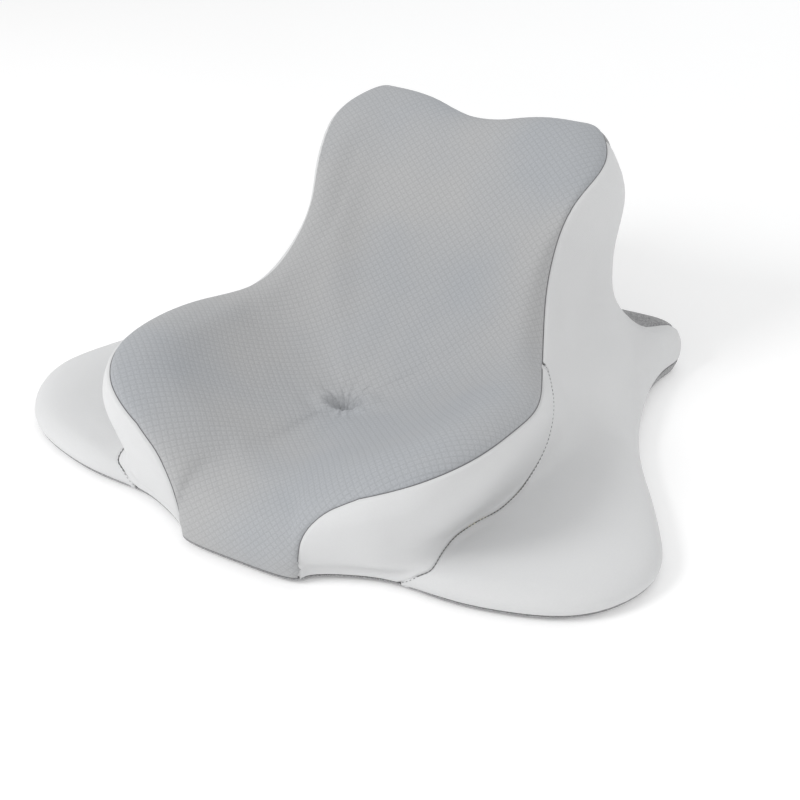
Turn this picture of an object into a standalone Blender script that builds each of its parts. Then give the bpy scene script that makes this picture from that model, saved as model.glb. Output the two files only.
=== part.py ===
"""Lumbar support seat cushion: moulded foam in a sewn zip cover, built as separate closed solids.

Frame: +X to the cushion's right as the sitter's front is seen, +Y to the rear, +Z up, the
underside on z = 0 and the middle of the overall box over the origin. Units are metres.
"""

import math

import bmesh
import bpy
import numpy as np
from mathutils import Matrix, Vector

for leftover in list(bpy.data.objects):
    bpy.data.objects.remove(leftover, do_unlink=True)

# ---------------------------------------------------------------- driving dimensions
WIDTH = 0.650            # wing tip to wing tip
DEPTH = 0.500            # tongue front to the proudest point of the zip slider
HEIGHT = 0.250           # floor to the top of the backrest ears
COVER = 0.0020           # thickness of every cover panel
FIT = 0.0003             # clearance between two pieces that touch
FOAM_FIT = 0.0010        # clearance between the cover and the foam, whose folds are rounder

ZIP_LOW = 0.010          # lower edge of the zip window above the floor
ZIP_HIGH = 0.038         # upper edge of the zip window
TAPE_THICKNESS = 0.0008
COIL_THICKNESS = 0.0022  # across the tape, front to back
COIL_WIDTH = 0.0023      # one half of the coil, along z
COIL_SPLIT = 0.0014      # between the two halves, room for the slider post
SLIDER_LENGTH = 0.0090
SLIDER_WIDTH = 0.0080
PLATE_THICKNESS = 0.0010
STOP_LENGTH = 0.0030
PIN_RADIUS = 0.0006
EYE_RADIUS = 0.0015      # outer radius of the eye at the end of the pull
EAR_THICKNESS = 0.0010
PULL_LENGTH = 0.0240
PULL_WIDTH = 0.0066
PULL_THICKNESS = 0.0012

CORD_RADIUS = 0.0015
TOP_ANCHOR = (0.0100, 0.0016)    # radius, thickness of the disc under the tuft
BASE_ANCHOR = (0.0140, 0.0025)   # radius, thickness of the disc above the base panel

# What the zip stands proud of the cover: plate, eye and ear, each with its clearance.
ZIP_PROUD = FIT + PLATE_THICKNESS + FIT + EYE_RADIUS + EYE_RADIUS + FIT
REAR_FACE = DEPTH - ZIP_PROUD

# ---------------------------------------------------------------- pattern of the cushion
# Offsets in millimetres from the middle of the tongue's front edge, right half only.
# Each row is one section running out from the tuft: its place in the column count, then
# the crest, the top seam, three points down the side, a point on the flange, the outline
# on the floor, and the rim (height, set-in, height of the base seam).
SECTIONS = (
    (0, (0, 55, 66), (0, 30, 61), (0, 17, 54), (0, 8, 44), (0, 3, 33), (0, 1, 23),
     (0, 0), (18, 0, 6)),
    (3, (30, 55, 70), (44, 27, 66), (47, 15, 58), (50, 7, 45), (52, 3, 33), (53, 1, 23),
     (53, 2), (18, 0, 6)),
    (6, (50, 54, 80), (59, 21, 75), (61, 10, 64), (62, 6, 50), (63, 7, 36), (64, 10, 23),
     (67, 15), (18, 0, 6)),
    (9, (74, 54, 94), (86, 19, 88), (89, 12, 76), (91, 13, 60), (92, 18, 40), (92, 24, 24),
     (94, 29), (18, 1, 6)),
    (12, (102, 58, 109), (122, 26, 104), (126, 22, 90), (128, 25, 70), (129, 31, 45),
     (131, 37, 24), (133, 41), (20, 2, 6)),
    (15, (130, 72, 120), (156, 47, 116), (162, 44, 100), (160, 52, 70), (157, 70, 34),
     (176, 60, 28), (200, 44), (24, 9, 6)),
    (18, (149, 100, 127), (180, 88, 119), (185, 90, 102), (178, 98, 68), (168, 115, 29),
     (230, 100, 27), (285, 75), (24, 10, 6)),
    (21, (157, 145, 122), (189, 145, 113), (193, 148, 96), (185, 152, 62), (179, 155, 27),
     (250, 150, 26), (325, 145), (24, 10, 6)),
    (24, (155, 205, 111), (187, 210, 101), (191, 214, 86), (190, 216, 58), (192, 215, 30),
     (240, 222, 27), (300, 215), (24, 10, 7)),
    (27, (135, 268, 100), (158, 287, 94), (171, 287, 80), (184, 284, 62), (202, 282, 42),
     (228, 288, 31), (258, 290), (26, 9, 9)),
    (31, (123, 334, 149), (134, 349, 148), (148, 366, 126), (158, 380, 100),
     (176, 384, 72), (205, 388, 45), (232, 385), (30, 9, 12)),
    (35, (125, 380, 208), (140, 394, 211), (156, 420, 184), (163, 422, 134),
     (173, 430, 86), (200, 450, 52), (231, 455), (38, 9, 12)),
    (37, (125, 428, 238), (150, 452, 231), (166, 468, 198), (168, 438, 138),
     (174, 444, 82), (206, 456, 51), (238, 484), (43, 6, 11)),
    (38, (118, 449, 244), (134, 483, 237), (146, 487, 204), (155, 447, 142),
     (164, 447, 82), (197, 464, 50), (228, 494), (46, 6, 10)),
    (41, (92, 467, 250), (103, 490, 242), (113, 480, 206), (118, 441, 142),
     (121, 443, 84), (142, 462, 50), (160, 495), (46, 4, 10)),
    (44, (50, 466, 248), (56, 488, 239), (58, 477, 203), (58, 444, 140),
     (58, 447, 84), (68, 462, 49), (80, 495), (46, 4, 10)),
    (47, (0, 461, 235), (0, 484, 223), (0, 474, 195), (0, 444, 138),
     (0, 447, 84), (0, 461, 48), (0, 495), (46, 4, 10)),
)
PATTERN_BOX = (650.0, 495.0, 250.0)
TUFT = (0.0, 190.0, 35.0)        # bottom of the tufted dimple
TUFT_RIM = 26.0                  # radius of its rim
BOWL_STEPS = (0.38, 0.62, 0.83)  # points between the rim and the crest
BOWL_POWER = 1.8                 # how late the seat rises toward the crest
# The seat and backrest along the middle, as (distance from the front, height).
SPINE = ((55, 66), (120, 59), (190, 53), (240, 62), (295, 89), (355, 139), (415, 197),
         (461, 235))

HALF = 47                # columns from the middle of the front to the middle of the rear
TOP_RINGS = 8            # rings from the tuft to the top seam
SIDE_RINGS = 8           # rings from the top seam to the base seam
BASE_RINGS = 4           # rings from the base seam to the middle of the underside
TONGUE_COL = 3           # where the top seam reaches the floor
BAND_COL = 12            # where the wing seam leaves the floor
WAIST_COL = 27           # where the wing seam meets the top seam
BACK_COL = 38            # edge between wing panel and back panel
ZIP_COL = 39             # end of the zip window
# Heights of the two seams up the section, as (column, row of the section).
TOP_SEAM = ((0, 13), (3, 13), (4, 11.2), (5, 9.4), (6, 8.1), (7, 7.2), (8, 6.6), (9, 6.3),
            (11, 6), (47, 6))
WING_SEAM = ((12, 13), (13, 11.3), (14, 9.9), (15, 9.2), (17, 9), (22, 9), (24, 8.7),
             (25, 8.0), (26, 7.0), (27, 6))
ROW_RIM, ROW_BASE_SEAM, ROW_EDGE = 12, 13, 14


def curve_through(knots, points, at):
    """A smooth curve through the points, whose slope at each knot is the weighted mean."""
    knots = np.asarray(knots, float)
    points = np.asarray(points, float)
    step = np.diff(knots)
    slope = np.diff(points, axis=0) / step[:, None]
    tangent = np.empty_like(points)
    share = (step[:-1] / (step[:-1] + step[1:]))[:, None]
    tangent[1:-1] = slope[:-1] * (1 - share) + slope[1:] * share
    tangent[0], tangent[-1] = slope[0], slope[-1]
    i = np.clip(np.searchsorted(knots, at, side="right") - 1, 0, len(step) - 1)
    h = step[i][:, None]
    u = ((np.asarray(at) - knots[i]) / step[i])[:, None]
    return (
        points[i] * (1 + 2 * u) * (1 - u) ** 2
        + tangent[i] * h * u * (1 - u) ** 2
        + points[i + 1] * u * u * (3 - 2 * u)
        - tangent[i + 1] * h * u * u * (1 - u)
    )


def section_points(row):
    """The control points of one section, from the tuft to the middle of the underside."""
    crest = np.array(row[1], float)
    tuft = np.array(TUFT)
    flat = crest[:2] - tuft[:2]
    along, height = zip(*SPINE)

    def spine(y):
        return curve_through(along, np.array(height, float)[:, None],
                             [min(max(y, along[0]), along[-1])])[0, 0]

    points = [tuft]
    for v in (TUFT_RIM / np.linalg.norm(flat), *BOWL_STEPS):
        place = tuft[:2] + flat * v
        rise = (crest[2] - spine(crest[1])) * v ** BOWL_POWER
        points.append(np.array([*place, spine(place[1]) + rise]))
    points.append(crest)
    points.extend(np.array(p, float) for p in row[2:7])
    outline = np.array(row[7], float)
    inward = np.array([0.0, PATTERN_BOX[1] / 2]) - outline
    inward /= np.linalg.norm(inward)
    height, set_in, base = row[8]
    points.append(np.array([*(outline + inward * set_in), height]))
    rim = ZIP_HIGH * 1000 if row[0] >= BACK_COL else height * 0.6
    points.append(np.array([*outline, rim]))
    points.append(np.array([*(outline + inward * 0.5), base]))
    points.append(np.array([*(outline + inward * 6.0), 0.0]))
    points.append(np.array([0.0, PATTERN_BOX[1] / 2, 0.0]))
    return np.array(points)


def column_points(places):
    """Control points at any column, by running a smooth curve through the sections."""
    cols = [row[0] for row in SECTIONS]
    net = np.array([section_points(row) for row in SECTIONS])
    flip = np.array([-1.0, 1.0, 1.0])
    cols = [2 * cols[0] - cols[1], *cols, 2 * cols[-1] - cols[-2]]
    net = np.concatenate([net[1:2] * flip, net, net[-2:-1] * flip])
    rows = net.shape[1]
    flat = curve_through(cols, net.reshape(len(cols), rows * 3), np.asarray(places, float))
    return flat.reshape(len(places), rows, 3)


def seam_ring(path_cols, ring_from, ring_to, column):
    """Ring number of a seam at a column: it climbs at most one ring at a time."""
    lo, hi = path_cols
    share = min(max((column - lo) / (hi - lo), 0.0), 1.0)
    return int(round(ring_from + (ring_to - ring_from) * share))


LAST_SIDE = TOP_RINGS + SIDE_RINGS
RINGS = LAST_SIDE + BASE_RINGS


def top_ring(column):
    return seam_ring((TONGUE_COL, TONGUE_COL + SIDE_RINGS), LAST_SIDE, TOP_RINGS, column)


def wing_ring(column):
    return seam_ring((BAND_COL, WAIST_COL), LAST_SIDE, TOP_RINGS, column)


def ring_rows(column):
    """Where on the section each ring lies, so that every seam falls on whole rings."""
    rings = [0, 6, top_ring(column)]
    rows = [0.0, 4.5, float(np.interp(column, *zip(*TOP_SEAM)))]
    if BAND_COL < column < WAIST_COL:
        rings.append(wing_ring(column))
        rows.append(float(np.interp(column, *zip(*WING_SEAM))))
    if column >= WAIST_COL:
        rings.append(LAST_SIDE - 1)
        rows.append(ROW_RIM)
    if rings[-1] < LAST_SIDE:
        rings.append(LAST_SIDE)
        rows.append(ROW_BASE_SEAM)
    rings += [LAST_SIDE + 1, RINGS]
    rows += [ROW_EDGE, ROW_EDGE + 1]
    return np.interp(np.arange(RINGS + 1), rings, rows)


def cushion_surface():
    """Points of the whole outside, (column, ring, xyz), all round, scaled to the box."""
    half = column_points(np.arange(HALF + 1))
    surface = np.empty((HALF + 1, RINGS + 1, 3))
    for column in range(HALF + 1):
        control = half[column]
        chord = np.r_[0, np.cumsum(np.linalg.norm(np.diff(control, axis=0), axis=1) ** 0.8)]
        rows = ring_rows(column)
        surface[column] = curve_through(chord, control,
                                        np.interp(rows, np.arange(len(control)), chord))
        # The underside is flat and its rings are spread evenly.
        edge = surface[column, LAST_SIDE + 1]
        middle = np.array([0.0, PATTERN_BOX[1] / 2, 0.0])
        for ring in range(LAST_SIDE + 1, RINGS + 1):
            share = (ring - LAST_SIDE - 1) / (BASE_RINGS - 1)
            surface[column, ring] = edge + (middle - edge) * share
            surface[column, ring, 2] = 0.0
    surface[0, :, 0] = surface[HALF, :, 0] = 0.0
    top = surface[:, :, 2].max()
    wide = surface[:, :, 0].max()
    scale = np.array([WIDTH / 2 / wide, REAR_FACE / PATTERN_BOX[1], HEIGHT / top])
    mirrored = surface[1:HALF][::-1] * np.array([-1.0, 1.0, 1.0])
    whole = np.concatenate([surface, mirrored])
    whole[:, :, 1] = np.clip(whole[:, :, 1], 0.0, PATTERN_BOX[1])
    whole = whole * scale
    # The rear face stands upright and keeps the zip's own size at any scale.
    rear = np.arange(BACK_COL, 2 * HALF - BACK_COL + 1)
    whole[rear, LAST_SIDE - 1, 2] = ZIP_HIGH
    whole[rear, LAST_SIDE, 2] = ZIP_LOW
    inner = np.arange(ZIP_COL, 2 * HALF - ZIP_COL + 1)
    whole[inner, LAST_SIDE - 1, 1] = REAR_FACE
    whole[inner, LAST_SIDE, 1] = REAR_FACE
    whole[:, :, 1] -= DEPTH / 2
    return whole


SURFACE = cushion_surface()
COLUMNS = 2 * HALF


def number(column, ring):
    """Vertex number on the master mesh: one vertex for each pole, the rest in rings."""
    if ring == 0:
        return 0
    if ring == RINGS:
        return 1
    return 2 + (column % COLUMNS) * (RINGS - 1) + (ring - 1)


def fold(column):
    column %= COLUMNS
    return column if column <= HALF else COLUMNS - column


def panel_of(near, far, ring_near, ring_far, side):
    """The panel a triangle belongs to, from the seams' rings at its two columns."""
    rings = ring_near + ring_far
    low, high = min(rings), max(rings)
    if low >= LAST_SIDE:
        return "base_panel"
    columns = (near, far)
    tops = [top_ring(c) for c in columns]
    inside_top = all(r <= tops[0] for r in ring_near) and all(r <= tops[1] for r in ring_far)
    if inside_top:
        return "top_panel"
    if min(columns) >= BACK_COL:
        if min(columns) >= ZIP_COL and low >= LAST_SIDE - 1:
            return "zip_window"
        return "back_panel"
    if max(columns) <= BAND_COL:
        return "side_band_" + side
    if min(columns) < WAIST_COL:
        wings = [wing_ring(c) for c in columns]
        if all(r <= wings[0] for r in ring_near) and all(r <= wings[1] for r in ring_far):
            return "side_band_" + side
    return "wing_panel_" + side


def master_mesh():
    """Vertices, triangles facing outward and the panel name of each triangle."""
    points = np.empty((2 + COLUMNS * (RINGS - 1), 3))
    for column in range(COLUMNS):
        for ring in range(1, RINGS):
            points[number(column, ring)] = SURFACE[column, ring]
    points[0] = SURFACE[0, 0]
    points[1] = SURFACE[0, RINGS]
    triangles, panels = [], []
    for column in range(COLUMNS):
        right = column < HALF
        here, there = column, column + 1
        if not right:
            here, there = there, here
        near, far = fold(here), fold(there)
        side = "right" if right else "left"
        for ring in range(RINGS):
            a, b = number(here, ring), number(here, ring + 1)
            c, d = number(there, ring + 1), number(there, ring)
            parts = [((a, b, d), (ring, ring + 1), (ring,)),
                     ((b, c, d), (ring + 1,), (ring, ring + 1))]
            for corners, ring_near, ring_far in parts:
                if len(set(corners)) < 3:
                    continue
                triangles.append(corners if right else corners[::-1])
                panels.append(panel_of(near, far, ring_near, ring_far, side))
    return points, np.array(triangles), np.array(panels)


POINTS, TRIANGLES, PANELS = master_mesh()


def face_normals(points, triangles):
    normal = np.cross(points[triangles[:, 1]] - points[triangles[:, 0]],
                      points[triangles[:, 2]] - points[triangles[:, 0]])
    return normal / np.maximum(np.linalg.norm(normal, axis=1), 1e-15)[:, None]


def inward_offsets():
    """For each vertex, the step that moves every face round it inward by one unit."""
    normals = face_normals(POINTS, TRIANGLES)
    around = [[] for _ in POINTS]
    for index, corners in enumerate(TRIANGLES):
        for corner in corners:
            around[corner].append(index)
    steps = np.empty_like(POINTS)
    for vertex, faces in enumerate(around):
        rows = normals[faces]
        mean = rows.mean(0)
        mean /= np.linalg.norm(mean)
        system = np.vstack([rows, 0.1 * np.eye(3)])
        wanted = np.r_[np.ones(len(rows)), 0.1 * mean]
        step = np.linalg.lstsq(system, wanted, rcond=None)[0]
        length = np.linalg.norm(step)
        steps[vertex] = -step * min(1.0, 2.2 / length)
    return steps


STEPS = inward_offsets()


def material(name, colour, roughness, metallic=0.0):
    made = bpy.data.materials.new(name)
    made.use_nodes = True
    shader = made.node_tree.nodes["Principled BSDF"]
    shader.inputs["Base Color"].default_value = (*colour, 1.0)
    shader.inputs["Roughness"].default_value = roughness
    shader.inputs["Metallic"].default_value = metallic
    return made


GREY_KNIT = material("grey_knit", (0.42, 0.44, 0.46), 0.9)
WHITE_KNIT = material("white_knit", (0.75, 0.76, 0.77), 0.85)
GRIP_FABRIC = material("grip_fabric", (0.12, 0.12, 0.13), 0.95)
FOAM = material("foam", (0.82, 0.80, 0.72), 0.95)
TAPE = material("zip_tape", (0.10, 0.10, 0.11), 0.9)
NYLON = material("zip_nylon", (0.08, 0.08, 0.09), 0.45)
ZINC = material("zip_zinc", (0.55, 0.56, 0.58), 0.35, 1.0)
CORD = material("tuft_cord", (0.70, 0.70, 0.70), 0.8)
PLASTIC = material("tuft_plastic", (0.85, 0.85, 0.83), 0.5)


def add_object(name, points, faces, look, smooth=True):
    mesh = bpy.data.meshes.new(name)
    mesh.from_pydata([tuple(p) for p in points], [], [tuple(int(i) for i in f) for f in faces])
    mesh.materials.append(look)
    mesh.validate()
    if smooth:
        mesh.shade_smooth()
    made = bpy.data.objects.new(name, mesh)
    bpy.context.scene.collection.objects.link(made)
    return made


# ---------------------------------------------------------------- cover panels
# Each panel is cut on the seam lines and given the cloth's thickness inward. Its edge is
# drawn back a little, so two panels sewn together stand apart by at least FIT.
def panel_shell(name, look):
    chosen = TRIANGLES[PANELS == name]
    used = np.unique(chosen)
    place = {int(v): i for i, v in enumerate(used)}
    outer = POINTS[used].copy()
    depth = STEPS[used]
    edges = {}
    for a, b, c in chosen:
        for pair, third in (((a, b), c), ((b, c), a), ((c, a), b)):
            edges.setdefault(tuple(sorted(map(int, pair))), []).append((pair, int(third)))
    border = [(pair, third) for found in edges.values() if len(found) == 1
              for pair, third in found]
    shift = np.zeros_like(outer)
    count = np.zeros(len(used))
    for (a, b), third in border:
        along = POINTS[b] - POINTS[a]
        along /= np.linalg.norm(along)
        into = POINTS[third] - POINTS[a]
        into -= along * (into @ along)
        into /= np.linalg.norm(into)
        for vertex in (a, b):
            shift[place[int(vertex)]] += into
            count[place[int(vertex)]] += 1
    moved = count > 0
    mean = shift[moved] / count[moved][:, None]
    length = np.linalg.norm(mean, axis=1)[:, None]
    outer[moved] += mean / np.maximum(length, 0.5) ** 2 * FIT * 0.85
    inner = outer + depth * COVER
    many = len(used)
    faces = []
    for corners in chosen:
        a, b, c = (place[int(v)] for v in corners)
        faces.append((a, b, c))
        faces.append((a + many, c + many, b + many))
    for (a, b), _ in border:
        a, b = place[int(a)], place[int(b)]
        faces.append((b, a, a + many))
        faces.append((b, a + many, b + many))
    return add_object(name, np.vstack([outer, inner]), faces, look)


panel_shell("top_panel", GREY_KNIT)
for hand in ("left", "right"):
    panel_shell("side_band_" + hand, WHITE_KNIT)
    panel_shell("wing_panel_" + hand, WHITE_KNIT)
panel_shell("back_panel", GRIP_FABRIC)
panel_shell("base_panel", GRIP_FABRIC)

# ---------------------------------------------------------------- foam core
# One moulding that fills the cover, relieved behind the zip and bored for the tuft.
ZIP_RELIEF = COIL_THICKNESS + 2 * FIT + PLATE_THICKNESS + FIT
foam_depth = np.full(len(POINTS), COVER + FOAM_FIT)
for column in range(ZIP_COL, COLUMNS - ZIP_COL + 1):
    for ring in (LAST_SIDE - 1, LAST_SIDE):
        foam_depth[number(column, ring)] += ZIP_RELIEF
foam = add_object("foam_core", POINTS + STEPS * foam_depth[:, None], TRIANGLES, FOAM)

tuft_top = POINTS[0] + STEPS[0] * (COVER + FIT)
TUFT_X, TUFT_Y = float(tuft_top[0]), float(tuft_top[1])
ANCHOR_TOP = float(tuft_top[2]) - 0.0006
ANCHOR_LOW = COVER + FIT


def turned(name, profile, look, centre, sides=24):
    """A solid of revolution about Z from (radius, height) pairs, closed at both ends."""
    mesh = bpy.data.meshes.new(name)
    form = bmesh.new()
    rings = []
    for radius, height in profile:
        rings.append([form.verts.new((centre[0] + radius * math.cos(2 * math.pi * i / sides),
                                      centre[1] + radius * math.sin(2 * math.pi * i / sides),
                                      height)) for i in range(sides)])
    for low, high in zip(rings, rings[1:]):
        for i in range(sides):
            j = (i + 1) % sides
            form.faces.new((low[i], low[j], high[j], high[i]))
    form.faces.new(rings[0][::-1])
    form.faces.new(rings[-1])
    form.to_mesh(mesh)
    form.free()
    mesh.materials.append(look)
    made = bpy.data.objects.new(name, mesh)
    bpy.context.scene.collection.objects.link(made)
    return made


top_bottom = ANCHOR_TOP - TOP_ANCHOR[1]
base_top = ANCHOR_LOW + BASE_ANCHOR[1]
bore = turned(
    "tuft_bore",
    [(BASE_ANCHOR[0] + FIT, -0.002), (BASE_ANCHOR[0] + FIT, base_top + FIT),
     (CORD_RADIUS + FIT, base_top + FIT), (CORD_RADIUS + FIT, top_bottom - FIT),
     (TOP_ANCHOR[0] + FIT, top_bottom - FIT), (TOP_ANCHOR[0] + FIT, HEIGHT)],
    FOAM, (TUFT_X, TUFT_Y))
bore.display_type = "WIRE"
bore.hide_render = True
cut = foam.modifiers.new("tuft_bore", "BOOLEAN")
cut.operation = "DIFFERENCE"
cut.solver = "EXACT"
cut.object = bore

# ---------------------------------------------------------------- tuft
# A disc under the top panel, tied down through the foam to a second disc at the base.
turned("tuft_anchor_top", [(TOP_ANCHOR[0], top_bottom), (TOP_ANCHOR[0], ANCHOR_TOP)],
       PLASTIC, (TUFT_X, TUFT_Y))
turned("tuft_anchor_base", [(BASE_ANCHOR[0], ANCHOR_LOW), (BASE_ANCHOR[0], base_top)],
       PLASTIC, (TUFT_X, TUFT_Y))
turned("tuft_cord", [(CORD_RADIUS, base_top + FIT), (CORD_RADIUS, top_bottom - FIT)],
       CORD, (TUFT_X, TUFT_Y), 12)


# ---------------------------------------------------------------- zip
def block(name, low, high, look, at=(0.0, 0.0, 0.0)):
    """A plain box from its low corner to its high corner, its origin moved to a point."""
    corners = [(x, y, z) for z in (low[2], high[2]) for y in (low[1], high[1])
               for x in (low[0], high[0])]
    faces = [(0, 2, 3, 1), (4, 5, 7, 6), (0, 1, 5, 4), (2, 6, 7, 3), (0, 4, 6, 2), (1, 3, 7, 5)]
    made = add_object(name, np.array(corners) - np.array(at), faces, look, smooth=False)
    made.location = at
    return made


ZIP_HALF = float(SURFACE[ZIP_COL, LAST_SIDE, 0]) - FIT
ZIP_Z = (ZIP_LOW + ZIP_HIGH) / 2
FACE_Y = REAR_FACE - DEPTH / 2
COIL_INNER = COIL_SPLIT / 2
COIL_OUTER = COIL_INNER + COIL_WIDTH
TAPE_REACH = (ZIP_HIGH - ZIP_LOW) / 2 - 4 * FIT
COIL_HALF = ZIP_HALF - STOP_LENGTH - 2 * FIT

tape_y = (FACE_Y - 0.0010 - TAPE_THICKNESS, FACE_Y - 0.0010)
coil_y = (FACE_Y - COIL_THICKNESS, FACE_Y)
for word, sign in (("upper", 1), ("lower", -1)):
    near, far = sorted((ZIP_Z + sign * (COIL_OUTER + FIT), ZIP_Z + sign * TAPE_REACH))
    block("zip_tape_" + word, (-ZIP_HALF, tape_y[0], near), (ZIP_HALF, tape_y[1], far), TAPE)
    near, far = sorted((ZIP_Z + sign * COIL_INNER, ZIP_Z + sign * COIL_OUTER))
    block("zip_coil_" + word, (-COIL_HALF, coil_y[0], near), (COIL_HALF, coil_y[1], far),
          NYLON)
for word, sign in (("left", -1), ("right", 1)):
    near, far = sorted((sign * (COIL_HALF + FIT), sign * (COIL_HALF + FIT + STOP_LENGTH)))
    block("zip_stop_" + word, (near, coil_y[0], ZIP_Z - COIL_OUTER),
          (far, coil_y[1] + 0.0004, ZIP_Z + COIL_OUTER), ZINC)

# The slider: an outer and an inner plate joined by a post between the two coils, with two
# ears that carry the pin of the pull. It rests closed, at the right end.
SLIDER_X = COIL_HALF - FIT - SLIDER_LENGTH / 2
PLATE_Y = FACE_Y + FIT
PIN_Y = PLATE_Y + PLATE_THICKNESS + FIT + EYE_RADIUS
EAR_INNER = PULL_WIDTH / 2 * 0.45 + FIT
EAR_OUTER = EAR_INNER + EAR_THICKNESS


def join_solids(name, pieces, look, at):
    """One closed body from overlapping pieces, by exact union."""
    first = pieces[0]
    for other in pieces[1:]:
        union = first.modifiers.new("join", "BOOLEAN")
        union.operation = "UNION"
        union.solver = "EXACT"
        union.object = other
    shape = bpy.data.meshes.new_from_object(
        first.evaluated_get(bpy.context.evaluated_depsgraph_get()))
    for other in pieces:
        bpy.data.objects.remove(other, do_unlink=True)
    shape.transform(Matrix.Translation(-Vector(at)))
    shape.materials.clear()
    shape.materials.append(look)
    made = bpy.data.objects.new(name, shape)
    made.location = at
    bpy.context.scene.collection.objects.link(made)
    return made


def pin_solid(name, radius, low, high, centre, sides=16):
    """A cylinder along Z, made with the same helper as the turned pieces."""
    return turned(name, [(radius, low), (radius, high)], ZINC, centre, sides)


half_long, half_wide = SLIDER_LENGTH / 2, SLIDER_WIDTH / 2
over = 0.0001
plate_low = coil_y[0] - FIT - PLATE_THICKNESS
pieces = [
    block("outer", (SLIDER_X - half_long, PLATE_Y, ZIP_Z - half_wide),
          (SLIDER_X + half_long, PLATE_Y + PLATE_THICKNESS, ZIP_Z + half_wide), ZINC),
    block("inner", (SLIDER_X - half_long, plate_low, ZIP_Z - half_wide),
          (SLIDER_X + half_long, plate_low + PLATE_THICKNESS, ZIP_Z + half_wide), ZINC),
    block("post", (SLIDER_X + 0.0005, plate_low + PLATE_THICKNESS - over,
                   ZIP_Z - COIL_INNER + FIT),
          (SLIDER_X + half_long - 0.0005, PLATE_Y + over, ZIP_Z + COIL_INNER - FIT), ZINC),
]
for sign in (-1, 1):
    near, far = sorted((ZIP_Z + sign * EAR_INNER, ZIP_Z + sign * EAR_OUTER))
    pieces.append(block("ear", (SLIDER_X - 0.0014, PLATE_Y + PLATE_THICKNESS - over, near),
                        (SLIDER_X + 0.0014, PIN_Y + EYE_RADIUS + FIT, far), ZINC))
pieces.append(pin_solid("pin", PIN_RADIUS, ZIP_Z - EAR_OUTER + over, ZIP_Z + EAR_OUTER - over,
                        (SLIDER_X, PIN_Y)))
join_solids("zip_slider", pieces, ZINC, (SLIDER_X, FACE_Y, ZIP_Z))

# The pull: a flat tab with an eye round the pin, lying along the tape at rest.
eye_half = EAR_INNER - FIT
pull_pieces = [
    pin_solid("eye", EYE_RADIUS, ZIP_Z - eye_half, ZIP_Z + eye_half, (SLIDER_X, PIN_Y)),
    block("neck", (SLIDER_X - EYE_RADIUS - 0.0016, PIN_Y - PULL_THICKNESS / 2,
                   ZIP_Z - eye_half),
          (SLIDER_X - PIN_RADIUS - 0.0004, PIN_Y + PULL_THICKNESS / 2, ZIP_Z + eye_half), ZINC),
    block("tab", (SLIDER_X - PULL_LENGTH, PIN_Y - PULL_THICKNESS / 2, ZIP_Z - PULL_WIDTH / 2),
          (SLIDER_X - EYE_RADIUS - 0.0015, PIN_Y + PULL_THICKNESS / 2,
           ZIP_Z + PULL_WIDTH / 2), ZINC),
]
pull = join_solids("zip_pull", pull_pieces, ZINC, (SLIDER_X, PIN_Y, ZIP_Z))
hole = pin_solid("pull_hole", PIN_RADIUS + FIT, ZIP_Z - eye_half - 0.001,
                 ZIP_Z + eye_half + 0.001, (SLIDER_X, PIN_Y))
hole.display_type = "WIRE"
hole.hide_render = True
drill = pull.modifiers.new("pull_hole", "BOOLEAN")
drill.operation = "DIFFERENCE"
drill.solver = "EXACT"
drill.object = hole
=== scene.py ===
import math

import bmesh
import bpy
import numpy as np
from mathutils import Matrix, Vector
from mathutils.kdtree import KDTree


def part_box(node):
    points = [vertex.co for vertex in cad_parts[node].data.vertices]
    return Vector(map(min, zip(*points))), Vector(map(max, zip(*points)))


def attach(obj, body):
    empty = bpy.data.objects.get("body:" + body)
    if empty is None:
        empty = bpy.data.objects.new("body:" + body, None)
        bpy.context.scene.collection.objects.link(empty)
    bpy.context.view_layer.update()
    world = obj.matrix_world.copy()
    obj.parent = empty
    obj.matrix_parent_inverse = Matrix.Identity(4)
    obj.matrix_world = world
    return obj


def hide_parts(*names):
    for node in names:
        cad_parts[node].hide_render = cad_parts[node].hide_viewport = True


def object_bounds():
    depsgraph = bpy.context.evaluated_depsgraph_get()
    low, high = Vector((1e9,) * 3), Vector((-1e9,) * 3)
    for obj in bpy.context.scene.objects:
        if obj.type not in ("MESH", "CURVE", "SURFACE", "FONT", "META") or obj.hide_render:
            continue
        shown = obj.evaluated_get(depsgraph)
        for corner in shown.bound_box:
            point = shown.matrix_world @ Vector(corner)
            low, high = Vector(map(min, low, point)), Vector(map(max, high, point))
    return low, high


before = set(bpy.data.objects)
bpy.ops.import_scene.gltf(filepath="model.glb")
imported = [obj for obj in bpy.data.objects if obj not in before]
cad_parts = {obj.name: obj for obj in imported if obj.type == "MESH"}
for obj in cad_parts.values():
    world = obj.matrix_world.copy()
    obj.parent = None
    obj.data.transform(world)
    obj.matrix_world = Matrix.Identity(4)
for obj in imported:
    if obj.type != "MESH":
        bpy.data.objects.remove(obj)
cad_box = [list(corner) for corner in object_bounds()]


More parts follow.
